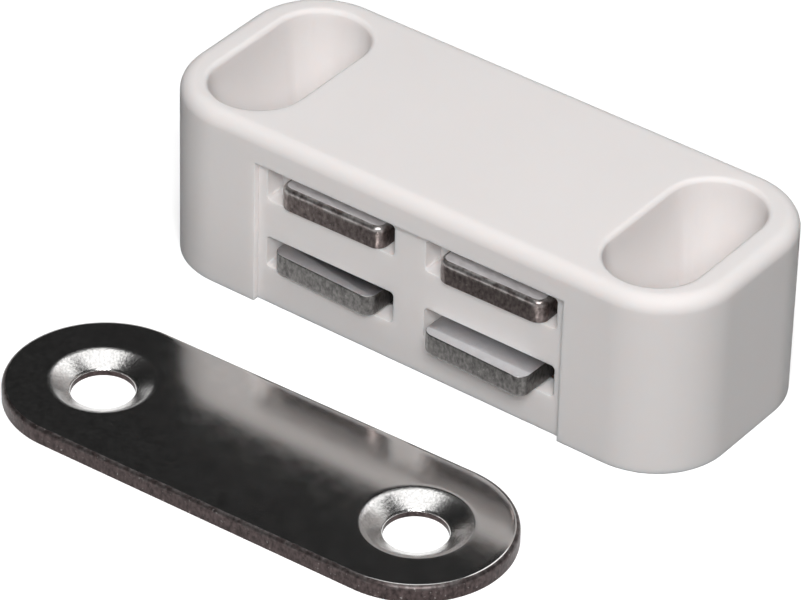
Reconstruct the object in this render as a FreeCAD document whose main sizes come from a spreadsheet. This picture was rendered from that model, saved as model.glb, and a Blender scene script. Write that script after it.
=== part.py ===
import FreeCAD, Part
import Sketcher
import math
import os

# Double magnetic cupboard catch with its strike plate.
# Origin: centre of the face that is screwed to the cupboard.
# X runs along the housing, -Y is the front with the pole plates, Z is up. Millimetres.

SIZES = {
    # Housing, outside
    "housing_depth": 22.5,
    "corner_radius": 7.3,
    "top_edge_radius": 1.4,
    "end_wall": 2.9,
    "well_wall": 1.3,
    "centre_web": 3.6,
    # Recessed panel in the front, open at the bottom
    "panel_recess": 0.6,
    "panel_side_margin": 0.95,
    "panel_top_margin": 0.5,
    # Windows for the pole plates
    "window_side_gap": 1.4,
    "window_top_gap": 0.9,
    "window_corner": 0.4,
    # Walls and guide ribs of the two magnet chambers
    "front_wall": 2.2,
    "floor_wall": 2.0,
    "floor_rib_height": 1.85,
    "roof_wall": 2.55,
    "roof_rib_height": 1.8,
    "rib_width": 1.2,
    "rib_spacing": 7.0,
    "rib_clearance": 0.3,
    "glide_clearance": 0.05,
    "pole_side_clearance": 0.55,
    "ear_side_clearance": 0.5,
    # Screw wells and the slots in their floors
    "well_width": 9.0,
    "well_length": 17.8,
    "well_forward": 0.3,
    "well_floor": 6.2,
    "well_taper": 5.0,
    "well_floor_slope": 1.6,
    "well_rim_radius": 0.5,
    "slot_width": 4.4,
    "slot_length": 9.0,
    # Rear cover and its posts behind the magnets
    "cover_thickness": 1.6,
    "cover_ledge": 0.8,
    "cover_corner": 1.2,
    "cover_clearance": 0.08,
    "post_length": 3.6,
    "post_width": 8.0,
    "post_clearance": 0.6,
    "post_wall": 1.0,
    # Steel pole plates
    "pole_width": 11.0,
    "pole_thickness": 2.25,
    "pole_corner": 1.3,
    "pole_reach": 0.5,
    "pole_pull": 2.8,
    "tail_clearance": 1.0,
    "ear_reach": 0.75,
    "ear_length": 2.5,
    # Ferrite magnets
    "magnet_side_step": 0.2,
    "magnet_height": 4.8,
    "magnet_play": 0.5,
    "magnet_chamfer": 0.4,
    # How each plate lies: pulled out past its mean place, and turned about Z in degrees
    "upper_left_pull": -0.13,
    "lower_left_pull": 0.35,
    "upper_right_pull": 0.05,
    "lower_right_pull": 1.6,
    "upper_left_turn": 0.8,
    "lower_left_turn": -2.2,
    "upper_right_turn": 1.0,
    "lower_right_turn": -1.8,
    # Strike plate and where it lies
    "strike_length": 50.2,
    "strike_width": 17.6,
    "strike_thickness": 1.6,
    "strike_edge": 0.55,
    "strike_hole_pitch": 32.9,
    "strike_hole_diameter": 5.6,
    "strike_sink_diameter": 9.2,
    "strike_bore_height": 0.6,
    "strike_place_x": -1.45,
    "strike_place_y": -29.74,
    "strike_turn": 1.6,
}

# Sizes that follow from the ones above, each written as a sum of named sizes
EAR_WIDTH = "(catch.pole_width + 2 * catch.ear_reach)"
EAR_ROOM = f"({EAR_WIDTH} + 2 * catch.ear_side_clearance)"
PACK_PITCH = f"({EAR_ROOM} + catch.centre_web)"
WELL_PLACE = f"({PACK_PITCH} / 2 + {EAR_ROOM} / 2 + catch.well_wall + catch.well_width / 2)"
HOUSING_LENGTH = f"(2 * {WELL_PLACE} + catch.well_width + 2 * catch.end_wall)"

SILL = "(catch.floor_wall + catch.floor_rib_height)"
POLE_BED = f"({SILL} + catch.glide_clearance)"
POLE_PITCH = "(catch.pole_thickness + catch.magnet_height)"
ROOF_RIB = f"({POLE_BED} + {POLE_PITCH} + catch.pole_thickness + catch.rib_clearance)"
ROOF = f"({ROOF_RIB} + catch.roof_rib_height)"
HOUSING_HEIGHT = f"({ROOF} + catch.roof_wall)"

WINDOW_WIDTH = "(catch.pole_width + 2 * catch.window_side_gap)"
WINDOW_HEIGHT = "(catch.glide_clearance + catch.pole_thickness + catch.window_top_gap)"
PANEL_WIDTH = f"({PACK_PITCH} + {WINDOW_WIDTH} + 2 * catch.panel_side_margin)"
PANEL_HEIGHT = f"({SILL} + {POLE_PITCH} + {WINDOW_HEIGHT} + catch.panel_top_margin)"

HALF_DEPTH = "catch.housing_depth / 2"
PANEL_FACE = f"({HALF_DEPTH} - catch.panel_recess)"
CHAMBER_FRONT = f"({PANEL_FACE} - catch.front_wall)"
COVER_FACE = f"({HALF_DEPTH} - catch.cover_thickness)"
POLE_TAIL = f"({COVER_FACE} - catch.tail_clearance)"
POLE_LENGTH = f"({POLE_TAIL} + {PANEL_FACE} + catch.pole_reach)"
EAR_STOP = f"({POLE_TAIL} - catch.ear_length - catch.pole_pull)"
MAGNET_WIDTH = "(catch.pole_width - 2 * catch.magnet_side_step)"
POST_HEIGHT = "(catch.magnet_height - 2 * catch.post_clearance)"
MAGNET_LENGTH = f"({COVER_FACE} - catch.post_length + {CHAMBER_FRONT} - 2 * catch.magnet_play)"

COVER_WIDTH = f"({PACK_PITCH} + {EAR_ROOM} + 2 * catch.cover_ledge)"
COVER_BOTTOM = "(catch.floor_wall - catch.cover_ledge)"
COVER_TOP = f"({ROOF} + catch.cover_ledge)"
COVER_HEIGHT = f"({COVER_TOP} - {COVER_BOTTOM})"
COVER_MIDDLE = f"({COVER_TOP} + {COVER_BOTTOM}) / 2"

SIDES = {"left": -1, "right": 1}
QUARTER_TURN = 90
# Nearer than this is touching, and an open side of a cut runs this far past the surface
TOUCH = 1e-4
PAST = 1.0

doc = FreeCAD.newDocument("catch_latch")


def write_sheet():
    """Every driving size of the catch, one named row each."""
    sheet = doc.addObject("Spreadsheet::Sheet", "catch")
    for row, (name, size) in enumerate(SIZES.items(), start=1):
        sheet.set(f"A{row}", name.replace("_", " "))
        sheet.set(f"B{row}", str(size))
        sheet.setAlias(f"B{row}", name)
    doc.recompute()
    return sheet


SHEET = write_sheet()


def amount(expression):
    """The number that an expression of named sizes gives now."""
    return float(SHEET.evalExpression(expression))


def new_body(label):
    body = doc.addObject("PartDesign::Body", label)
    body.Label = label
    return body


def new_sketch(body, name, plane, x="0", y="0", level="0"):
    """Room for an outline on one of the body's planes, moved to (x, y) in it and to a level."""
    sketch = body.newObject("Sketcher::SketchObject", name)
    origin = [item for item in body.Origin.OriginFeatures if item.Role == plane]
    sketch.AttachmentSupport = (origin[0], [""])
    sketch.MapMode = "FlatFace"
    for axis, expression in (("x", x), ("y", y), ("z", level)):
        sketch.setExpression(f"AttachmentOffset.Base.{axis}", expression)
    return sketch


def bind(sketch, kind, *where, name, expression):
    """Give an outline one dimension, tied to named sizes."""
    index = sketch.addConstraint(Sketcher.Constraint(kind, *where, amount(expression)))
    sketch.renameConstraint(index, name)
    sketch.setExpression(f"Constraints.{name}", expression)


def draw_rectangle(sketch, width, height):
    """A rectangle about the outline's own centre."""
    half_w = amount(width) / 2
    half_h = amount(height) / 2
    corners = [(-half_w, -half_h), (half_w, -half_h), (half_w, half_h), (-half_w, half_h)]
    for start, end in zip(corners, corners[1:] + corners[:1]):
        sketch.addGeometry(Part.LineSegment(FreeCAD.Vector(*start), FreeCAD.Vector(*end)))
    for side in range(4):
        sketch.addConstraint(Sketcher.Constraint("Coincident", side, 2, (side + 1) % 4, 1))
        kind = "Horizontal" if side % 2 == 0 else "Vertical"
        sketch.addConstraint(Sketcher.Constraint(kind, side))
    sketch.addConstraint(Sketcher.Constraint("Symmetric", 0, 1, 2, 1, -1, 1))
    bind(sketch, "DistanceX", 0, 1, 0, 2, name="wide", expression=width)
    bind(sketch, "DistanceY", 1, 1, 1, 2, name="tall", expression=height)


def draw_rounded_rectangle(sketch, width, height, radius):
    """A rectangle with round corners, about the outline's own centre."""
    half_w = amount(width) / 2
    half_h = amount(height) / 2
    round_off = amount(radius)
    in_w = half_w - round_off
    in_h = half_h - round_off
    up = FreeCAD.Vector(0, 0, 1)
    ends = [
        ((-in_w, -half_h), (in_w, -half_h)),
        ((half_w, -in_h), (half_w, in_h)),
        ((in_w, half_h), (-in_w, half_h)),
        ((-half_w, in_h), (-half_w, -in_h)),
    ]
    centres = [(in_w, -in_h), (in_w, in_h), (-in_w, in_h), (-in_w, -in_h)]
    for side in range(4):
        start, end = ends[side]
        sketch.addGeometry(Part.LineSegment(FreeCAD.Vector(*start), FreeCAD.Vector(*end)))
        circle = Part.Circle(FreeCAD.Vector(*centres[side]), up, round_off)
        begin = (side - 1) * math.pi / 2
        sketch.addGeometry(Part.ArcOfCircle(circle, begin, begin + math.pi / 2))
    for side in range(4):
        line = 2 * side
        arc = line + 1
        following = (line + 2) % 8
        sketch.addConstraint(Sketcher.Constraint("Tangent", line, 2, arc, 1))
        sketch.addConstraint(Sketcher.Constraint("Tangent", arc, 2, following, 1))
        kind = "Horizontal" if side % 2 == 0 else "Vertical"
        if side < 3:
            sketch.addConstraint(Sketcher.Constraint(kind, line))
            sketch.addConstraint(Sketcher.Constraint("Equal", arc, arc + 2))
    sketch.addConstraint(Sketcher.Constraint("Symmetric", 1, 3, 5, 3, -1, 1))
    bind(sketch, "Radius", 1, name="corner", expression=radius)
    bind(sketch, "DistanceX", 7, 1, 3, 1, name="wide", expression=width)
    bind(sketch, "DistanceY", 1, 1, 5, 1, name="tall", expression=height)


def draw_stadium(sketch, width, length):
    """Two parallel sides with half-round ends, long along the outline's second axis."""
    radius = amount(width) / 2
    half = amount(length) / 2 - radius
    up = FreeCAD.Vector(0, 0, 1)
    far = Part.Circle(FreeCAD.Vector(0, half), up, radius)
    near = Part.Circle(FreeCAD.Vector(0, -half), up, radius)
    sketch.addGeometry(Part.LineSegment(FreeCAD.Vector(radius, -half), FreeCAD.Vector(radius, half)))
    sketch.addGeometry(Part.ArcOfCircle(far, 0, math.pi))
    sketch.addGeometry(Part.LineSegment(FreeCAD.Vector(-radius, half), FreeCAD.Vector(-radius, -half)))
    sketch.addGeometry(Part.ArcOfCircle(near, math.pi, 2 * math.pi))
    for piece in range(4):
        sketch.addConstraint(Sketcher.Constraint("Tangent", piece, 2, (piece + 1) % 4, 1))
    sketch.addConstraint(Sketcher.Constraint("Vertical", 0))
    sketch.addConstraint(Sketcher.Constraint("Symmetric", 1, 3, 3, 3, -1, 1))
    bind(sketch, "Radius", 1, name="end", expression=f"{width} / 2")
    bind(sketch, "DistanceY", 3, 3, 1, 3, name="apart", expression=f"{length} - {width}")


def draw_profile(sketch, points):
    """A closed outline whose corners are pairs of expressions measured from the origin."""
    places = [FreeCAD.Vector(amount(x), amount(y)) for x, y in points]
    for start, end in zip(places, places[1:] + places[:1]):
        sketch.addGeometry(Part.LineSegment(start, end))
    count = len(points)
    for side in range(count):
        sketch.addConstraint(Sketcher.Constraint("Coincident", side, 2, (side + 1) % count, 1))
    for side, (x, y) in enumerate(points):
        bind(sketch, "DistanceX", -1, 1, side, 1, name=f"x{side}", expression=x)
        bind(sketch, "DistanceY", -1, 1, side, 1, name=f"y{side}", expression=y)


def pad(body, name, sketch, length):
    feature = body.newObject("PartDesign::Pad", name)
    feature.Profile = sketch
    feature.setExpression("Length", length)
    doc.recompute()
    return feature


def pocket(body, name, sketch, depth, taper=None):
    """Cut an outline into the body and make sure that it takes something away."""
    before = body.Shape.Volume
    feature = body.newObject("PartDesign::Pocket", name)
    feature.Profile = sketch
    feature.setExpression("Length", depth)
    if taper:
        feature.setExpression("TaperAngle", taper)
    doc.recompute()
    if feature.Shape.Volume > before - TOUCH:
        raise RuntimeError(f"{name} cuts nothing")
    return feature


def edges_where(shape, test):
    return [f"Edge{number}" for number, edge in enumerate(shape.Edges, start=1) if test(edge)]


def fillet(body, name, radius, test):
    """Round every edge of the body that passes the test."""
    base = body.Tip
    feature = body.newObject("PartDesign::Fillet", name)
    feature.Base = (base, edges_where(base.Shape, test))
    feature.setExpression("Radius", radius)
    doc.recompute()
    return feature


def chamfer(body, name, size, test):
    base = body.Tip
    feature = body.newObject("PartDesign::Chamfer", name)
    feature.Base = (base, edges_where(base.Shape, test))
    feature.setExpression("Size", size)
    doc.recompute()
    return feature


def all_at_level(edge, level):
    return abs(edge.BoundBox.ZMin - level) < TOUCH and abs(edge.BoundBox.ZMax - level) < TOUCH


def round_at_level(edge, level, radius):
    """Whether an edge is an arc of this radius that lies flat at this level."""
    curve = edge.Curve
    return all_at_level(edge, level) and hasattr(curve, "Radius") and abs(curve.Radius - radius) < TOUCH


def upright(edge):
    box = edge.BoundBox
    return box.XLength < TOUCH and box.YLength < TOUCH


def put(body, x="0", y="0", z="0", turn="0"):
    """Place a body and turn it about Z, tied to named sizes."""
    body.Placement = FreeCAD.Placement(
        FreeCAD.Vector(amount(x), amount(y), amount(z)),
        FreeCAD.Rotation(FreeCAD.Vector(0, 0, 1), amount(turn)),
    )
    for axis, expression in (("x", x), ("y", y), ("z", z)):
        body.setExpression(f"Placement.Base.{axis}", expression)
    body.setExpression("Placement.Rotation.Angle", f"{turn} * 1 deg")
    doc.recompute()


def housing_shell(body):
    """The outer block with its round corners and soft top edge."""
    outline = new_sketch(body, "housing_outline", "XY_Plane")
    draw_rounded_rectangle(
        outline, HOUSING_LENGTH, "catch.housing_depth", "catch.corner_radius"
    )
    pad(body, "housing_block", outline, HOUSING_HEIGHT)
    top = amount(HOUSING_HEIGHT)
    fillet(body, "housing_top_edge", "catch.top_edge_radius", lambda edge: all_at_level(edge, top))


def housing_front(body):
    """The recessed panel and its four windows."""
    panel = new_sketch(
        body, "panel_outline", "XZ_Plane", y=f"({PANEL_HEIGHT} - {PAST}) / 2", level=HALF_DEPTH
    )
    draw_rectangle(panel, PANEL_WIDTH, f"{PANEL_HEIGHT} + {PAST}")
    pocket(body, "front_panel", panel, "catch.panel_recess")
    for side, sign in SIDES.items():
        for row, storey in (("lower", 0), ("upper", 1)):
            window = new_sketch(
                body,
                f"{row}_{side}_window_outline",
                "XZ_Plane",
                x=f"{sign} * {PACK_PITCH} / 2",
                y=f"{SILL} + {WINDOW_HEIGHT} / 2 + {storey} * {POLE_PITCH}",
                level=PANEL_FACE,
            )
            draw_rounded_rectangle(window, WINDOW_WIDTH, WINDOW_HEIGHT, "catch.window_corner")
            pocket(body, f"{row}_{side}_window", window, "catch.front_wall")


def chamber_outline(body, name, sign, level, width):
    """One chamber's section, seen from behind, with its guide ribs left standing."""
    sketch = new_sketch(
        body,
        name,
        "XZ_Plane",
        x=f"{sign} * {PACK_PITCH} / 2",
        level=level,
    )
    half = f"{width} / 2"
    rib_out = "(catch.rib_spacing / 2 + catch.rib_width / 2)"
    rib_in = "(catch.rib_spacing / 2 - catch.rib_width / 2)"
    floor = "catch.floor_wall"
    right_floor = [(rib_in, floor), (rib_in, SILL), (rib_out, SILL), (rib_out, floor), (half, floor)]
    right_roof = [(half, ROOF), (rib_out, ROOF), (rib_out, ROOF_RIB), (rib_in, ROOF_RIB), (rib_in, ROOF)]
    right_side = right_floor + right_roof
    left_side = [(f"-{x}", y) for x, y in reversed(right_side)]
    draw_profile(sketch, right_side + left_side)
    return sketch


def housing_chambers(body):
    """Two chambers cored out from behind, wider where the ears of the plates travel."""
    for side, sign in SIDES.items():
        narrow = chamber_outline(
            body,
            f"{side}_chamber_outline",
            sign,
            CHAMBER_FRONT,
            "(catch.pole_width + 2 * catch.pole_side_clearance)",
        )
        pocket(body, f"{side}_chamber", narrow, f"{CHAMBER_FRONT} + {HALF_DEPTH}")
        wide = chamber_outline(
            body,
            f"{side}_ear_room_outline",
            sign,
            f"-{EAR_STOP}",
            EAR_ROOM,
        )
        pocket(body, f"{side}_ear_room", wide, f"{HALF_DEPTH} - {EAR_STOP}")
    rebate = new_sketch(
        body,
        "cover_rebate_outline",
        "XZ_Plane",
        y=COVER_MIDDLE,
        level=f"-{COVER_FACE}",
    )
    draw_rounded_rectangle(rebate, COVER_WIDTH, COVER_HEIGHT, "catch.cover_corner")
    pocket(body, "cover_rebate", rebate, "catch.cover_thickness")


def housing_wells(body):
    """Oval wells from the top, each with a sloped seat and a slot for a screw in its floor."""
    for side, sign in SIDES.items():
        place = f"{sign} * {WELL_PLACE}"
        well = new_sketch(
            body,
            f"{side}_well_outline",
            "XY_Plane",
            x=place,
            y="-catch.well_forward",
            level=HOUSING_HEIGHT,
        )
        draw_stadium(well, "catch.well_width", "catch.well_length")
        pocket(
            body,
            f"{side}_well",
            well,
            f"{HOUSING_HEIGHT} - catch.well_floor",
            taper="-catch.well_taper * 1 deg",
        )
    floor = amount("catch.well_floor")
    top = amount(HOUSING_HEIGHT)
    chamfer(
        body, "well_floors", "catch.well_floor_slope", lambda edge: all_at_level(edge, floor)
    )
    end_radius = amount("catch.well_width / 2")
    fillet(
        body,
        "well_rims",
        "catch.well_rim_radius",
        lambda edge: round_at_level(edge, top, end_radius),
    )
    for side, sign in SIDES.items():
        place = f"{sign} * {WELL_PLACE}"
        slot = new_sketch(
            body,
            f"{side}_slot_outline",
            "XY_Plane",
            x=place,
            y="-catch.well_forward",
            level="catch.well_floor + catch.well_floor_slope",
        )
        draw_stadium(slot, "catch.slot_width", "catch.slot_length")
        pocket(body, f"{side}_slot", slot, "catch.well_floor + catch.well_floor_slope")


def make_housing():
    body = new_body("housing")
    housing_shell(body)
    housing_front(body)
    housing_chambers(body)
    housing_wells(body)


def make_rear_cover():
    """Flat cover with a hollow post behind each magnet."""
    body = new_body("rear_cover")
    plate = new_sketch(
        body,
        "cover_outline",
        "XZ_Plane",
        y=COVER_MIDDLE,
        level=f"-{HALF_DEPTH}",
    )
    draw_rounded_rectangle(
        plate,
        f"{COVER_WIDTH} - 2 * catch.cover_clearance",
        f"{COVER_HEIGHT} - 2 * catch.cover_clearance",
        "catch.cover_corner - catch.cover_clearance",
    )
    pad(body, "cover_plate", plate, "catch.cover_thickness")
    middle = f"{POLE_BED} + catch.pole_thickness + catch.magnet_height / 2"
    for side, sign in SIDES.items():
        post = new_sketch(
            body,
            f"{side}_post_outline",
            "XZ_Plane",
            x=f"{sign} * {PACK_PITCH} / 2",
            y=middle,
            level=f"-{COVER_FACE}",
        )
        draw_rectangle(post, "catch.post_width", POST_HEIGHT)
        pad(body, f"{side}_post", post, "catch.post_length")
        hollow = new_sketch(
            body,
            f"{side}_post_hollow_outline",
            "XZ_Plane",
            x=f"{sign} * {PACK_PITCH} / 2",
            y=middle,
            level=f"catch.post_length - {COVER_FACE}",
        )
        draw_rectangle(
            hollow,
            "catch.post_width - 2 * catch.post_wall",
            f"{POST_HEIGHT} - 2 * catch.post_wall",
        )
        pocket(body, f"{side}_post_hollow", hollow, "catch.post_length")


def make_magnet(side, sign):
    """A ferrite block between two pole plates."""
    body = new_body(f"magnet_{side}")
    outline = new_sketch(body, f"magnet_{side}_outline", "XY_Plane")
    draw_rectangle(outline, MAGNET_WIDTH, MAGNET_LENGTH)
    pad(body, f"magnet_{side}_block", outline, "catch.magnet_height")
    chamfer(body, f"magnet_{side}_corners", "catch.magnet_chamfer", upright)
    put(
        body,
        x=f"{sign} * {PACK_PITCH} / 2",
        y=f"catch.magnet_play + {MAGNET_LENGTH} / 2 - {CHAMBER_FRONT}",
        z=f"{POLE_BED} + catch.pole_thickness",
    )


def make_pole(name, sign, storey):
    """A flat steel plate: a narrow tip with round corners, and two ears at its tail."""
    body = new_body(f"{name}_pole")
    outline = new_sketch(body, f"{name}_plate_outline", "XY_Plane")
    half = "catch.pole_width / 2"
    ear = f"{EAR_WIDTH} / 2"
    tip = f"-{POLE_LENGTH} / 2"
    tail = f"{POLE_LENGTH} / 2"
    neck = f"{POLE_LENGTH} / 2 - catch.ear_length"
    right_side = [(half, tip), (half, neck), (ear, neck), (ear, tail)]
    left_side = [(f"-{x}", y) for x, y in reversed(right_side)]
    draw_profile(outline, right_side + left_side)
    pad(body, f"{name}_plate", outline, "catch.pole_thickness")
    front = -amount(POLE_LENGTH) / 2
    fillet(
        body,
        f"{name}_tip_corners",
        "catch.pole_corner",
        lambda edge: upright(edge) and abs(edge.CenterOfMass.y - front) < TOUCH,
    )
    put(
        body,
        x=f"{sign} * {PACK_PITCH} / 2",
        y=f"{POLE_TAIL} - {POLE_LENGTH} / 2 - catch.{name}_pull",
        z=f"{POLE_BED} + {storey} * {POLE_PITCH}",
        turn=f"catch.{name}_turn",
    )


def make_strike_plate():
    """A stamped plate with half-round ends, a rolled upper edge and two countersunk holes."""
    body = new_body("strike_plate")
    outline = new_sketch(body, "strike_outline", "XY_Plane")
    outline.AttachmentOffset = FreeCAD.Placement(
        FreeCAD.Vector(), FreeCAD.Rotation(FreeCAD.Vector(0, 0, 1), QUARTER_TURN)
    )
    draw_stadium(outline, "catch.strike_width", "catch.strike_length")
    pad(body, "strike_blank", outline, "catch.strike_thickness")
    top = amount("catch.strike_thickness")
    fillet(
        body,
        "strike_edges",
        "catch.strike_edge",
        lambda edge: all_at_level(edge, top),
    )
    for side, sign in SIDES.items():
        section = new_sketch(
            body, f"{side}_hole_section", "XZ_Plane", x=f"{sign} * catch.strike_hole_pitch / 2"
        )
        bore = "catch.strike_hole_diameter / 2"
        sink = "catch.strike_sink_diameter / 2"
        high = "catch.strike_thickness"
        draw_profile(
            section,
            [
                ("0", f"-{PAST}"),
                (bore, f"-{PAST}"),
                (bore, "catch.strike_bore_height"),
                (sink, high),
                (sink, f"{high} + {PAST}"),
                ("0", f"{high} + {PAST}"),
            ],
        )
        groove = body.newObject("PartDesign::Groove", f"{side}_hole")
        groove.Profile = section
        groove.ReferenceAxis = (section, ["V_Axis"])
        groove.Angle = 360
        doc.recompute()
    put(
        body,
        x="catch.strike_place_x",
        y="catch.strike_place_y",
        turn="catch.strike_turn",
    )


def check_document():
    """Stop if any feature failed or any piece is not one sound solid."""
    for item in doc.Objects:
        if "Invalid" in item.State or "Error" in item.State:
            raise RuntimeError(f"{item.Label} failed: {item.State}")
    for body in doc.findObjects("PartDesign::Body"):
        shape = body.Shape
        if shape.isNull() or not shape.isValid() or len(shape.Solids) != 1:
            raise RuntimeError(f"{body.Label} is not one valid solid")


def write_parts():
    os.makedirs("parts", exist_ok=True)
    for body in doc.findObjects("PartDesign::Body"):
        body.Shape.exportStep(os.path.join("parts", f"{body.Label}.step"))
        box = body.Shape.BoundBox
        print(f"{body.Label}: volume {body.Shape.Volume:.1f} mm3, y {box.YMin:.2f} to {box.YMax:.2f}")


make_housing()
make_rear_cover()
for side_name, side_sign in SIDES.items():
    make_magnet(side_name, side_sign)
    make_pole(f"lower_{side_name}", side_sign, 0)
    make_pole(f"upper_{side_name}", side_sign, 1)
make_strike_plate()
doc.recompute()
check_document()
write_parts()
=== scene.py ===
import math

import bmesh
import bpy
from bpy.props import FloatProperty, FloatVectorProperty, PointerProperty
from mathutils import Matrix, Vector


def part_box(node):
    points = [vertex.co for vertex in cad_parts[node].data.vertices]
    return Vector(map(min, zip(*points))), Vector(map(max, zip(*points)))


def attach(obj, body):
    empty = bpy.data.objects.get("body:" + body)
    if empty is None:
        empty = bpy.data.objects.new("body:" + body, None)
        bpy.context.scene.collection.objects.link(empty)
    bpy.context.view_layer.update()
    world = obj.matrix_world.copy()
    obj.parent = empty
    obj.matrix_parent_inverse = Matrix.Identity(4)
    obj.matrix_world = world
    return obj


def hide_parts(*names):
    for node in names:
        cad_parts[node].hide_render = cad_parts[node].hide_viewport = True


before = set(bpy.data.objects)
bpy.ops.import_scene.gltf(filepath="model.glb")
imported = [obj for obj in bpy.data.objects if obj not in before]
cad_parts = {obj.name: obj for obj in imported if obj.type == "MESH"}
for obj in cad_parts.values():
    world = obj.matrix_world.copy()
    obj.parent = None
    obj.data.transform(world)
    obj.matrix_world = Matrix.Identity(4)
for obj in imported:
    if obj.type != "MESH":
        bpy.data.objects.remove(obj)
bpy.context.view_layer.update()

bl_info = {
    "name": "Magnetic cupboard catch",
    "version": (1, 0, 0),
    "blender": (4, 5, 0),
    "location": "3D View > Sidebar > Catch",
    "description": "Finishes a double magnetic cupboard catch and its strike plate",
    "category": "Object",
}

# Each pole plate, and the body that it rides on
POLES = {
    "upper_left_pole": "upper_left",
    "lower_left_pole": "lower_left",
    "upper_right_pole": "upper_right",
    "lower_right_pole": "lower_right",
}

# A millimetre in metres
MM = 0.001
QUARTER_TURN = math.pi / 2

# Corners nearer than this are one corner
WELD = 0.002 * MM

# Folds: no edge at all, the rim of a countersink, and an edge that is seen sharp
FLAT = math.radians(0.5)
SINK_RIM = math.radians(15)
SHARP = math.radians(35)

# How far behind the housing's front face the edges of the panel and the windows lie at most
PANEL_REACH = 0.7 * MM

# Straight stretches in a full circle, and half of one as a turn
ROUND_STEPS = 128
HALF_STEP = Matrix.Rotation(math.pi / ROUND_STEPS, 4, "Z")

# How much of a face's normal points up, from -1 to 1, or to one side
FACING_UP = 0.97
LEVEL_TOP = 0.99
SLOPING = 0.3
FACING_DOWN = -0.9
SIDEWAYS = 0.5

# Places in a plate's list of finishes; the last is a pole's dull side or the countersinks
PLATED, CUT, OTHER = range(3)

# Each pattern: how fine it is, and its layers of detail
PLASTIC_CLOUD = (60, 3)
PLASTIC_GRAIN = (1800, 2)
FERRITE_GRAIN = (900, 2)
FILM_CLOUD = (900, 6)
FILM_PATCHES = (2200, 5)
PRESS_GRAIN = (4200, 4)
SHEAR_STREAKS = (3400, 6)
SHEAR_RUBS = (1500, 4)
# Painted glint specks on cut steel: how fine they are, and their layers of detail
PAINTED_GLINT_GRAIN = (3400, 3)

# Where a pattern turns from one look to the other
CLOUDS = (0.35, 0.65)
SMEARS = (0.3, 0.7)
DIMPLES = (0.35, 0.6)
RUBBED_PARTS = (0.42, 0.62)
# Where the painted glint specks begin and where they are full
PAINTED_GLINT_SPOTS = (0.66, 0.78)

# Each relief: its strength and its depth
PLASTIC_RELIEF = (0.08, 0.05 * MM)
PRESS_RELIEF = (0.6, 0.03 * MM)
SHEAR_RELIEF = (0.5, 0.06 * MM)

# The darker parts of a pattern as a share of the colour, and a streak's dark and light parts
PLASTIC_SHADE = 0.96
FILM_SHADE = 0.92
DIMPLE_SHADE = 0.8
STREAK_SHADES = (0.5, 1.5)

# Moulded plastic: its gloss, and how far red, green and blue light spread in it
PLASTIC_GLOSS = 0.3
LIGHT_SPREAD = (1.0, 0.9, 0.85)
LIGHT_DEPTH = 0.8 * MM

# Pressed magnet
FERRITE_DARK = (0.03, 0.03, 0.033)
FERRITE_LIGHT = (0.07, 0.07, 0.075)
FERRITE_ROUGHNESS = 0.75

# Plated and sheared steel
RUBBED_SMOOTH = 0.9
RUBBED_ROUGH = 1.15
SINK_ROUGHNESS = 0.24
CUT_METAL = 0.85
STREAK_SCALES = (1, 1, 0.6)
BURNISHED_FROM = 0.7
LEAST_RUB = 0.15
BURNISHED_STEEL = (0.6, 0.59, 0.58)
# Painted glint: a light colour mixed into cut steel in small specks, and how much of it
PAINTED_GLINT_COLOR = (0.6, 0.58, 0.56)
PAINTED_GLINT_STRENGTH = 0.4


def length(name, description, size):
    return FloatProperty(
        name=name, description=description, subtype="DISTANCE", unit="LENGTH", default=size, min=0.0
    )


def color(name, description, value):
    return FloatVectorProperty(
        name=name, description=description, subtype="COLOR", size=3, default=value
    )


def level(name, description, value, most=1.0):
    return FloatProperty(name=name, description=description, default=value, min=0.0, max=most)


class PlasticSettings(bpy.types.PropertyGroup):
    """Moulded white plastic of the housing and its cover."""

    color: color("Plastic colour", "Colour of the moulded housing", (0.84, 0.805, 0.795))
    roughness: level("Plastic roughness", "How matt the moulded surface is", 0.6)
    front_edge: length("Front edges", "Rounding of the panel's and windows' edges", 0.42 * MM)


class PoleSettings(bpy.types.PropertyGroup):
    """Zinc plated pole plates, cut from strip."""

    face_color: color("Plate faces", "Zinc plating on the bright side", (0.84, 0.85, 0.87))
    dull_color: color("Dull face", "Zinc plating on the side that the punch entered", (0.84, 0.82, 0.83))
    upper_cut: color("Upper cut edges", "Sheared steel, a little rusty", (0.16, 0.132, 0.126))
    lower_cut: color("Lower cut edges", "Sheared steel, clean", (0.135, 0.13, 0.126))
    corner_radius: length("Corner radius", "Round corners of the tip", 1.1 * MM)
    rolled_radius: length("Rolled edge", "Edge that the punch drew down", 0.5 * MM)
    crisp_radius: length("Crisp edge", "Edge on the other side of the plate", 0.12 * MM)
    ear_reach: length("Ear reach", "How far an ear stands out beside the plate", 0.75 * MM)
    ear_length: length("Ear length", "Length of an ear along the plate", 2.5 * MM)


class StrikeSettings(bpy.types.PropertyGroup):
    """Bright plated strike plate."""

    face_color: color("Plate face", "Bright plating", (0.74, 0.73, 0.72))
    cut_color: color("Cut edge", "Sheared lower part of the edge", (0.062, 0.046, 0.045))
    edge_radius: length("Edge radius", "Rolled upper edge", 0.5 * MM)
    hole_pitch: length("Hole pitch", "Distance between the two holes", 32.9 * MM)
    hole_diameter: length("Hole diameter", "Bore under the countersink", 5.6 * MM)
    sink_diameter: length("Countersink diameter", "Countersink at the upper face", 9.2 * MM)
    bore_height: length("Bore height", "Straight part of the hole", 0.6 * MM)
    rim_radius: length("Rim radius", "Rolled outer rim of the countersink", 0.35 * MM)
    bore_radius: length("Bore rim radius", "Rounded rim between countersink and bore", 0.2 * MM)


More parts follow.
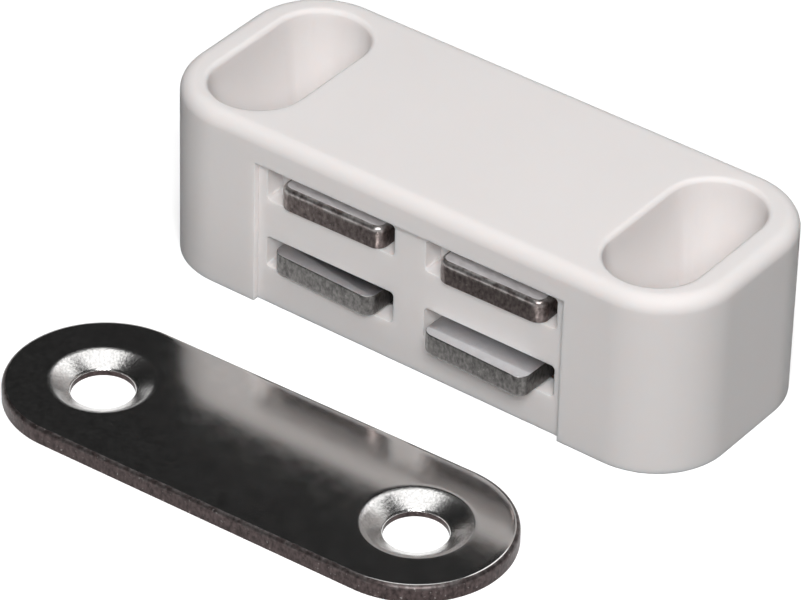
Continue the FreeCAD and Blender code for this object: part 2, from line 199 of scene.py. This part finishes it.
class StageSettings(bpy.types.PropertyGroup):
    """Lamps, the dim light from all round, and the floor."""

    key_power: FloatProperty(
        name="Key power", description="Lamp near the camera", subtype="POWER", default=7.0, min=0.0
    )
    top_power: FloatProperty(
        name="Top power", description="Lamp overhead", subtype="POWER", default=2.5, min=0.0
    )
    back_power: FloatProperty(
        name="Back power", description="Lamp behind", subtype="POWER", default=1.0, min=0.0
    )
    dusk: level("Dusk", "Even dim light from all round", 0.012)
    floor_lift: level("Floor lift", "How much whiter than lit paper the floor is seen", 0.3)


def start_material(name, roughness):
    """A new material: its node tree, its shader and the place on the piece as a vector."""
    material = bpy.data.materials.new(name)
    material.use_nodes = True
    tree = material.node_tree
    shader = tree.nodes["Principled BSDF"]
    shader.inputs["Roughness"].default_value = roughness
    place = tree.nodes.new("ShaderNodeTexCoord").outputs["Object"]
    return material, tree, shader, place


def stretched(tree, place, scale):
    """The same place with each axis scaled, for a pattern that runs in streaks."""
    mapping = tree.nodes.new("ShaderNodeMapping")
    mapping.inputs["Scale"].default_value = scale
    tree.links.new(place, mapping.inputs["Vector"])
    return mapping.outputs["Vector"]


def noise(tree, place, scale, detail):
    cloud = tree.nodes.new("ShaderNodeTexNoise")
    cloud.inputs["Scale"].default_value = scale
    cloud.inputs["Detail"].default_value = detail
    tree.links.new(place, cloud.inputs["Vector"])
    return cloud.outputs["Fac"]


def between(tree, value, start, end, low=0.0, high=1.0):
    """Map a value's range from start to end onto low to high."""
    spread = tree.nodes.new("ShaderNodeMapRange")
    spread.inputs["From Min"].default_value = start
    spread.inputs["From Max"].default_value = end
    spread.inputs["To Min"].default_value = low
    spread.inputs["To Max"].default_value = high
    tree.links.new(value, spread.inputs["Value"])
    return spread.outputs["Result"]


def mix_color(tree, low, high, factor):
    """Blend two colours, each a plain colour or another node's, by a factor."""
    mix = tree.nodes.new("ShaderNodeMix")
    mix.data_type = "RGBA"
    for socket, value in (("A", low), ("B", high)):
        if isinstance(value, bpy.types.NodeSocket):
            tree.links.new(value, mix.inputs[socket])
        else:
            mix.inputs[socket].default_value = (*value, 1)
    tree.links.new(factor, mix.inputs["Factor"])
    return mix.outputs["Result"]


def calculate(tree, operation, first, second):
    """One sum on a value from another node, with a number or a second value."""
    node = tree.nodes.new("ShaderNodeMath")
    node.operation = operation
    tree.links.new(first, node.inputs[0])
    if isinstance(second, bpy.types.NodeSocket):
        tree.links.new(second, node.inputs[1])
    else:
        node.inputs[1].default_value = second
    return node.outputs["Value"]


def add_bump(tree, shader, height, strength, distance):
    bump = tree.nodes.new("ShaderNodeBump")
    bump.inputs["Strength"].default_value = strength
    bump.inputs["Distance"].default_value = distance
    tree.links.new(height, bump.inputs["Height"])
    tree.links.new(bump.outputs["Normal"], shader.inputs["Normal"])


def shaded(value, share):
    return tuple(share * part for part in value)


def white_plastic(settings):
    """Slightly translucent moulded plastic with a faint cloud and a fine grain."""
    material, tree, shader, place = start_material("white_plastic", settings.roughness)
    shader.inputs["Specular IOR Level"].default_value = PLASTIC_GLOSS
    shader.inputs["Subsurface Weight"].default_value = 1.0
    shader.inputs["Subsurface Radius"].default_value = LIGHT_SPREAD
    shader.inputs["Subsurface Scale"].default_value = LIGHT_DEPTH
    darker = shaded(settings.color, PLASTIC_SHADE)
    tint = mix_color(tree, darker, settings.color, noise(tree, place, *PLASTIC_CLOUD))
    tree.links.new(tint, shader.inputs["Base Color"])
    add_bump(tree, shader, noise(tree, place, *PLASTIC_GRAIN), *PLASTIC_RELIEF)
    return material


def ferrite():
    """Pressed and sintered magnet, matt and nearly black."""
    material, tree, shader, place = start_material("ferrite", FERRITE_ROUGHNESS)
    tint = mix_color(tree, FERRITE_DARK, FERRITE_LIGHT, noise(tree, place, *FERRITE_GRAIN))
    tree.links.new(tint, shader.inputs["Base Color"])
    return material


def plate_face(name, value, roughness, film):
    """Plated steel with a thin dull film in patches."""
    material, tree, shader, place = start_material(name, roughness)
    cloud = noise(tree, place, *FILM_CLOUD)
    tint = mix_color(tree, shaded(value, FILM_SHADE), value, between(tree, cloud, *CLOUDS))
    tree.links.new(tint, shader.inputs["Base Color"])
    patches = noise(tree, place, *FILM_PATCHES)
    bare = between(tree, patches, *CLOUDS, 1.0 - film, 1.0 - film / 2)
    tree.links.new(bare, shader.inputs["Metallic"])
    rubbed = between(tree, cloud, *SMEARS, RUBBED_SMOOTH * roughness, RUBBED_ROUGH * roughness)
    tree.links.new(rubbed, shader.inputs["Roughness"])
    return material


def pressed_sink(name, value):
    """Plated steel that a press has dimpled: bright, and rough in the small."""
    material, tree, shader, place = start_material(name, SINK_ROUGHNESS)
    grain = noise(tree, place, *PRESS_GRAIN)
    tint = mix_color(tree, shaded(value, DIMPLE_SHADE), value, between(tree, grain, *DIMPLES))
    tree.links.new(tint, shader.inputs["Base Color"])
    shader.inputs["Metallic"].default_value = 1.0
    add_bump(tree, shader, grain, *PRESS_RELIEF)
    return material


def cut_edge(name, value, roughness, burnished):
    """Sheared steel: rough, dark and streaky, burnished towards the rolled edge, with painted glint
    specks.
    """
    material, tree, shader, place = start_material(name, roughness)
    shader.inputs["Metallic"].default_value = CUT_METAL
    height = tree.nodes.new("ShaderNodeAttribute")
    height.attribute_name = "height"
    streaks = noise(tree, stretched(tree, place, STREAK_SCALES), *SHEAR_STREAKS)
    dark, light = (shaded(value, share) for share in STREAK_SHADES)
    bare = mix_color(tree, dark, light, between(tree, streaks, *SMEARS))
    rise = between(tree, height.outputs["Fac"], BURNISHED_FROM, 1.0, 0.0, burnished)
    rubs = between(tree, noise(tree, place, *SHEAR_RUBS), *RUBBED_PARTS, LEAST_RUB, 1.0)
    bright = mix_color(tree, bare, BURNISHED_STEEL, calculate(tree, "MULTIPLY", rise, rubs))
    # Painted highlight: specks of a light colour where a fine noise is high
    painted_glints = between(tree, noise(tree, place, *PAINTED_GLINT_GRAIN), *PAINTED_GLINT_SPOTS)
    painted_sparkle = calculate(tree, "MULTIPLY", painted_glints, PAINTED_GLINT_STRENGTH)
    tree.links.new(mix_color(tree, bright, PAINTED_GLINT_COLOR, painted_sparkle), shader.inputs["Base Color"])
    add_bump(tree, shader, streaks, *SHEAR_RELIEF)
    return material


def cover_with(node, material):
    """Give a CAD node one material on all its faces."""
    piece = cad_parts[node]
    piece.data.materials.clear()
    piece.data.materials.append(material)


def cad_mesh(node):
    """A copy of a CAD node's mesh with its corners joined."""
    mesh = bmesh.new()
    mesh.from_mesh(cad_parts[node].data)
    bmesh.ops.remove_doubles(mesh, verts=mesh.verts, dist=WELD)
    return mesh


def add_piece(name, mesh, materials, body, nodes):
    """Make an object of a mesh that stands for some CAD nodes and moves with their body."""
    bmesh.ops.recalc_face_normals(mesh, faces=mesh.faces)
    data = bpy.data.meshes.new(name)
    mesh.to_mesh(data)
    mesh.free()
    for material in materials:
        data.materials.append(material)
    data.shade_smooth()
    data.set_sharp_from_angle(angle=SHARP)
    piece = bpy.data.objects.new(name, data)
    bpy.context.scene.collection.objects.link(piece)
    weigh = piece.modifiers.new("even_shading", "WEIGHTED_NORMAL")
    weigh.keep_sharp = True
    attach(piece, body)
    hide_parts(*nodes)
    return piece


def round_edges(mesh, edges, radius, segments):
    if not edges:
        raise RuntimeError("no edges to round")
    bmesh.ops.bevel(
        mesh,
        geom=edges,
        offset=radius,
        segments=segments,
        profile=0.5,
        affect="EDGES",
        clamp_overlap=True,
        material=-1,
    )
    mesh.normal_update()


def lie_of(node):
    """Where a flat CAD plate lies, and its size along its own sides."""
    mesh = cad_mesh(node)
    level_edges = [
        edge
        for edge in mesh.edges
        if edge.calc_face_angle(0) > SHARP and abs(edge.verts[0].co.z - edge.verts[1].co.z) < WELD
    ]
    side = max(level_edges, key=lambda edge: edge.calc_length())
    run = side.verts[1].co - side.verts[0].co
    turn = math.atan2(run.y, run.x)
    turn -= round(turn / QUARTER_TURN) * QUARTER_TURN
    straight = Matrix.Rotation(-turn, 4, "Z")
    corners = [straight @ vert.co for vert in mesh.verts]
    mesh.free()
    low = Vector(map(min, zip(*corners)))
    high = Vector(map(max, zip(*corners)))
    return straight.inverted() @ Matrix.Translation((low + high) / 2), high - low


def mark_plate(mesh, thickness):
    """Give the cut edges their finish, and note each corner's height in the plate, 0 to 1."""
    for face in mesh.faces:
        face.material_index = CUT if FACING_DOWN < face.normal.z < FACING_UP else PLATED
    height = mesh.verts.layers.float.new("height")
    for vert in mesh.verts:
        vert[height] = vert.co.z / thickness + 0.5


class CATCH_OT_housing(bpy.types.Operator):
    """Round the moulded edges of the housing and finish it and its rear cover"""

    bl_idname = "catch.housing"
    bl_label = "Housing"

    def execute(self, context):
        settings = context.scene.catch_plastic
        plastic = white_plastic(settings)
        cover_with("rear_cover", plastic)
        mesh = cad_mesh("housing")
        bmesh.ops.dissolve_limit(
            mesh, angle_limit=FLAT, verts=mesh.verts, edges=mesh.edges, delimit={"NORMAL"}
        )
        corners = [
            edge
            for edge in mesh.edges
            if edge.is_manifold and edge.is_convex and edge.calc_face_angle() > SHARP
        ]
        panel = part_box("housing")[0].y + PANEL_REACH
        front = [edge for edge in corners if all(vert.co.y < panel for vert in edge.verts)]
        round_edges(mesh, front, settings.front_edge, segments=4)
        add_piece("housing_body", mesh, [plastic], "case", ["housing"])
        return {"FINISHED"}


class CATCH_OT_magnets(bpy.types.Operator):
    """Finish the two ferrite magnets"""

    bl_idname = "catch.magnets"
    bl_label = "Magnets"

    def execute(self, context):
        block = ferrite()
        for node in ("magnet_left", "magnet_right"):
            cover_with(node, block)
        return {"FINISHED"}


class CATCH_OT_poles(bpy.types.Operator):
    """Make the four steel pole plates"""

    bl_idname = "catch.poles"
    bl_label = "Pole plates"

    def execute(self, context):
        settings = context.scene.catch_poles
        bright = plate_face("pole_bright_side", settings.face_color, roughness=0.1, film=0.03)
        dull = plate_face("pole_dull_side", settings.dull_color, roughness=0.35, film=0.8)
        rubbed = cut_edge("pole_rubbed_cut", settings.upper_cut, roughness=0.3, burnished=1.0)
        bare = cut_edge("pole_bare_cut", settings.lower_cut, roughness=0.36, burnished=0.0)
        for node, body in POLES.items():
            place, size = lie_of(node)
            mesh = self.plate(size, settings)
            steel = [bright, rubbed, dull]
            if body.startswith("lower"):
                place = place @ Matrix.Rotation(math.pi, 4, "Y")
                steel[CUT] = bare
            bmesh.ops.transform(mesh, matrix=place, verts=mesh.verts)
            add_piece(f"{body}_plate", mesh, steel, body, [node])
        return {"FINISHED"}

    def plate(self, size, settings):
        """A plate about its own middle, with round front corners and two ears at its tail."""
        mesh = bmesh.new()
        width = size.x - 2 * settings.ear_reach
        bmesh.ops.create_cube(mesh, size=1, matrix=Matrix.Diagonal((width, size.y, size.z, 1)))
        neck = size.y / 2 - settings.ear_length
        bmesh.ops.bisect_plane(
            mesh,
            geom=mesh.verts[:] + mesh.edges[:] + mesh.faces[:],
            plane_co=(0, neck, 0),
            plane_no=(0, 1, 0),
        )
        mesh.normal_update()
        sides = [
            face
            for face in mesh.faces
            if abs(face.normal.x) > SIDEWAYS and face.calc_center_median().y > neck
        ]
        for ear in bmesh.ops.extrude_discrete_faces(mesh, faces=sides)["faces"]:
            bmesh.ops.translate(mesh, verts=ear.verts, vec=ear.normal * settings.ear_reach)
        front = -size.y / 2 + WELD
        corners = [
            edge
            for edge in mesh.edges
            if all(vert.co.y < front for vert in edge.verts)
            and abs(edge.verts[0].co.x - edge.verts[1].co.x) < WELD
        ]
        round_edges(mesh, corners, settings.corner_radius, segments=8)
        for side, radius in ((1, settings.rolled_radius), (-1, settings.crisp_radius)):
            rims = [
                edge
                for edge in mesh.edges
                if edge.calc_face_angle() > SHARP
                and all(side * vert.co.z > size.z / 2 - WELD for vert in edge.verts)
            ]
            round_edges(mesh, rims, radius, segments=6)
        mark_plate(mesh, size.z)
        for face in mesh.faces:
            if face.normal.z > FACING_UP:
                face.material_index = OTHER
        return mesh


class CATCH_OT_strike_plate(bpy.types.Operator):
    """Make the strike plate with its rolled edge and two countersunk holes"""

    bl_idname = "catch.strike_plate"
    bl_label = "Strike plate"

    def execute(self, context):
        settings = context.scene.catch_strike
        steel = [
            plate_face("strike_plating", settings.face_color, roughness=0.13, film=0.02),
            cut_edge("strike_cut", settings.cut_color, roughness=0.42, burnished=0.2),
            pressed_sink("strike_sink", settings.face_color),
        ]
        place, size = lie_of("strike_plate")
        mesh = self.plate(size, settings)
        bmesh.ops.transform(mesh, matrix=place, verts=mesh.verts)
        add_piece("door_plate", mesh, steel, "case", ["strike_plate"])
        return {"FINISHED"}

    def tube(self, mesh, centre, sections):
        """A round wall about (centre, 0), returned as a ring of edges for each radius and height."""
        axis = Matrix.Translation((centre, 0, 0))
        radius, height = sections[0]
        made = bmesh.ops.create_circle(
            mesh, segments=ROUND_STEPS, radius=radius, matrix=axis @ HALF_STEP
        )
        bmesh.ops.translate(mesh, verts=made["verts"], vec=(0, 0, height))
        rings = [list({edge for vert in made["verts"] for edge in vert.link_edges})]
        for next_radius, next_height in sections[1:]:
            grown = bmesh.ops.extrude_edge_only(mesh, edges=rings[-1])["geom"]
            verts = [item for item in grown if isinstance(item, bmesh.types.BMVert)]
            share = next_radius / radius
            bmesh.ops.scale(mesh, verts=verts, vec=(share, share, 1), space=axis.inverted())
            bmesh.ops.translate(mesh, verts=verts, vec=(0, 0, next_height - height))
            rings.append([edge for edge in mesh.edges if all(vert in verts for vert in edge.verts)])
            radius, height = next_radius, next_height
        return rings

    def plate(self, size, settings):
        """A plate about its own middle, long along X."""
        mesh = bmesh.new()
        top = size.z / 2
        end = size.y / 2
        reach = size.x / 2 - end
        land = 2 * settings.edge_radius
        outer = self.tube(mesh, 0, [(end, -top), (end, top), (end - land, top)])
        for vert in mesh.verts:
            vert.co.x += math.copysign(reach, vert.co.x)
        bore = settings.hole_diameter / 2
        sink = settings.sink_diameter / 2
        foot = settings.bore_height - top
        hole = [(bore, -top), (bore, foot), (sink, top), (sink + 2 * settings.rim_radius, top)]
        holes = [self.tube(mesh, side * settings.hole_pitch / 2, hole) for side in (-1, 1)]
        walls = [outer, *holes]
        for ring in (0, -1):
            rims = sum((wall[ring] for wall in walls), [])
            bmesh.ops.triangle_fill(mesh, edges=rims, use_beauty=True, normal=(0, 0, 1))
        bmesh.ops.recalc_face_normals(mesh, faces=mesh.faces)
        round_edges(mesh, outer[1], settings.edge_radius, segments=5)
        for height, radius in ((foot, settings.bore_radius), (top, settings.rim_radius)):
            rims = [
                edge
                for edge in mesh.edges
                if edge.calc_face_angle() > SINK_RIM
                and all(abs(vert.co.y) < sink + WELD for vert in edge.verts)
                and all(abs(vert.co.z - height) < WELD for vert in edge.verts)
            ]
            round_edges(mesh, rims, radius, segments=4)
        mark_plate(mesh, size.z)
        for face in mesh.faces:
            middle = face.calc_center_median()
            away = math.hypot(abs(middle.x) - settings.hole_pitch / 2, middle.y)
            if away < sink + settings.rim_radius and SLOPING < face.normal.z < LEVEL_TOP:
                face.material_index = OTHER
        return mesh


# The camera looks down on the catch's front from its right
CAMERA_AZIMUTH = math.radians(36.168)
CAMERA_ELEVATION = math.radians(35.619)
CAMERA_ROLL = math.radians(1.52)
CAMERA_DISTANCE = 498.282 * MM
CAMERA_AIM = Vector((-6.374, -3.103, 0)) * MM
CAMERA_LENS = 254.69
CAMERA_NEAR = 10 * MM

# Each lamp: its azimuth and elevation in degrees, its distance and its width in metres
KEY_LAMP = (36, 42, 0.9, 0.4)
TOP_LAMP = (0, 88, 0.9, 0.8)
BACK_LAMP = (172, 50, 0.9, 0.5)

# The floor: its width in metres, how matt it is, and the share of light that it throws back
FLOOR_SIZE = 12
FLOOR_ROUGHNESS = 0.9
FLOOR_BOUNCE = (0.08, 0.08, 0.08)

# The white wall all round fades out between these heights: 0 is level, 1 straight up
WALL_FADE = (0.2, 0.12)
WHITE = (1, 1, 1)


def seen_directly(tree):
    """One where a ray comes from the camera, a mirror surface or clear glass, else nothing."""
    path = tree.nodes.new("ShaderNodeLightPath").outputs
    first = calculate(tree, "MAXIMUM", path["Is Camera Ray"], path["Is Glossy Ray"])
    return calculate(tree, "MAXIMUM", first, path["Is Transmission Ray"])


def studio_world(settings):
    """Even dim light from all round, with a white wall low down that is only seen."""
    world = bpy.data.worlds.new("studio")
    world.use_nodes = True
    tree = world.node_tree
    split = tree.nodes.new("ShaderNodeSeparateXYZ")
    tree.links.new(tree.nodes.new("ShaderNodeTexCoord").outputs["Generated"], split.inputs["Vector"])
    low = between(tree, split.outputs["Z"], *WALL_FADE)
    wall = calculate(tree, "MULTIPLY", low, seen_directly(tree))
    backdrop = mix_color(tree, shaded(WHITE, settings.dusk), WHITE, wall)
    tree.links.new(backdrop, tree.nodes["Background"].inputs["Color"])
    return world


def floor_paint(settings):
    """A sheet that is seen white and throws only a little light back."""
    material, tree, shader, _ = start_material("floor_paint", FLOOR_ROUGHNESS)
    shader.inputs["Specular IOR Level"].default_value = 0.0
    seen = seen_directly(tree)
    tree.links.new(mix_color(tree, FLOOR_BOUNCE, WHITE, seen), shader.inputs["Base Color"])
    shader.inputs["Emission Color"].default_value = (*WHITE, 1)
    lift = calculate(tree, "MULTIPLY", seen, settings.floor_lift)
    tree.links.new(lift, shader.inputs["Emission Strength"])
    return material


def view_matrix(azimuth, elevation, distance, aim, roll=0.0):
    """Where something stands that looks at aim from that direction; azimuth 0 looks along +Y."""
    turn = (
        Matrix.Rotation(azimuth, 4, "Z")
        @ Matrix.Rotation(QUARTER_TURN - elevation, 4, "X")
        @ Matrix.Rotation(roll, 4, "Z")
    )
    back = turn.to_3x3() @ Vector((0, 0, 1))
    return Matrix.Translation(aim + back * distance) @ turn


def add_lamp(name, lamp, power):
    azimuth, elevation, distance, width = lamp
    data = bpy.data.lights.new(name, "AREA")
    data.energy = power
    data.shape = "DISK"
    data.size = width
    piece = bpy.data.objects.new(name, data)
    piece.matrix_world = view_matrix(
        math.radians(azimuth), math.radians(elevation), distance, Vector()
    )
    bpy.context.scene.collection.objects.link(piece)


class CATCH_OT_stage(bpy.types.Operator):
    """Put up the floor, the lamps, the world and the camera"""

    bl_idname = "catch.stage"
    bl_label = "Stage"

    def execute(self, context):
        settings = context.scene.catch_stage
        scene = context.scene
        camera = bpy.data.objects.new("camera", bpy.data.cameras.new("camera"))
        camera.data.lens = CAMERA_LENS
        camera.data.clip_start = CAMERA_NEAR
        camera.matrix_world = view_matrix(
            CAMERA_AZIMUTH, CAMERA_ELEVATION, CAMERA_DISTANCE, CAMERA_AIM, CAMERA_ROLL
        )
        scene.collection.objects.link(camera)
        scene.camera = camera
        add_lamp("key_lamp", KEY_LAMP, settings.key_power)
        add_lamp("top_lamp", TOP_LAMP, settings.top_power)
        add_lamp("back_lamp", BACK_LAMP, settings.back_power)
        scene.world = studio_world(settings)
        scene.view_settings.view_transform = "Standard"
        bpy.ops.mesh.primitive_plane_add(size=FLOOR_SIZE)
        floor = context.object
        floor.name = "floor"
        floor.data.materials.append(floor_paint(settings))
        return {"FINISHED"}


class CATCH_PT_panel(bpy.types.Panel):
    """Lists the catch's pieces"""

    bl_label = "Cupboard catch"
    bl_idname = "CATCH_PT_panel"
    bl_space_type = "VIEW_3D"
    bl_region_type = "UI"
    bl_category = "Catch"

    def draw(self, context):
        layout = self.layout
        for operator in OPERATORS:
            layout.operator(operator.bl_idname)


OPERATORS = (
    CATCH_OT_housing,
    CATCH_OT_magnets,
    CATCH_OT_poles,
    CATCH_OT_strike_plate,
    CATCH_OT_stage,
)
SETTINGS = {
    "catch_plastic": PlasticSettings,
    "catch_poles": PoleSettings,
    "catch_strike": StrikeSettings,
    "catch_stage": StageSettings,
}


def register():
    for name, group in SETTINGS.items():
        bpy.utils.register_class(group)
        setattr(bpy.types.Scene, name, PointerProperty(type=group))
    for operator in OPERATORS:
        bpy.utils.register_class(operator)
    bpy.utils.register_class(CATCH_PT_panel)


def unregister():
    bpy.utils.unregister_class(CATCH_PT_panel)
    for operator in reversed(OPERATORS):
        bpy.utils.unregister_class(operator)
    for name, group in SETTINGS.items():
        delattr(bpy.types.Scene, name)
        bpy.utils.unregister_class(group)


def main():
    register()
    bpy.ops.catch.housing()
    bpy.ops.catch.magnets()
    bpy.ops.catch.poles()
    bpy.ops.catch.strike_plate()
    bpy.ops.catch.stage()


if __name__ == "__main__":
    main()
